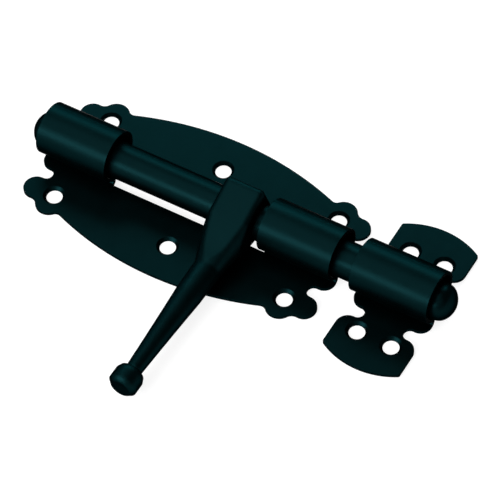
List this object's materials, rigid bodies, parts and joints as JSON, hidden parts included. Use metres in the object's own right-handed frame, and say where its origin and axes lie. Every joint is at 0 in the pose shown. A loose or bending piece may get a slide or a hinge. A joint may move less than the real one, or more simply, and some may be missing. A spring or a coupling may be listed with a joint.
{
  "type": "sliding bolt",
  "caption": "Sliding door bolt: a round bar carried in rings folded from an oval screw-on plate, with a tapered turn handle and a matching strike plate.",
  "frame": {"origin": "centre of the main plate's four corner screw holes, on the plate's back face", "axes": "+X along the bar towards the strike plate, +Y across the plate away from the handle, +Z out of the door"},
  "size_m": [0.201, 0.135, 0.0275],
  "materials": {
    "plate_coat": "satin",
    "rod_coat": "satin",
    "handle_coat": "satin"
  },
  "bodies": {
    "plates": {"bolt_plate": "plate_coat", "strike_plate": "plate_coat"},
    "rod": {"bolt_rod": "rod_coat"},
    "handle": {"handle": "handle_coat"}
  },
  "joints": [
    {"name": "rod_slide", "type": "slide", "parent": "plates", "child": "rod", "axis": [1, 0, 0], "range_m": [-0.0508, 0.0037]},
    {"name": "handle_turn", "type": "hinge", "parent": "rod", "child": "handle", "pos_m": [0.0236, 0, 0.01154], "axis": [-1, 0, 0], "range_deg": [0, 100]}
  ]
}
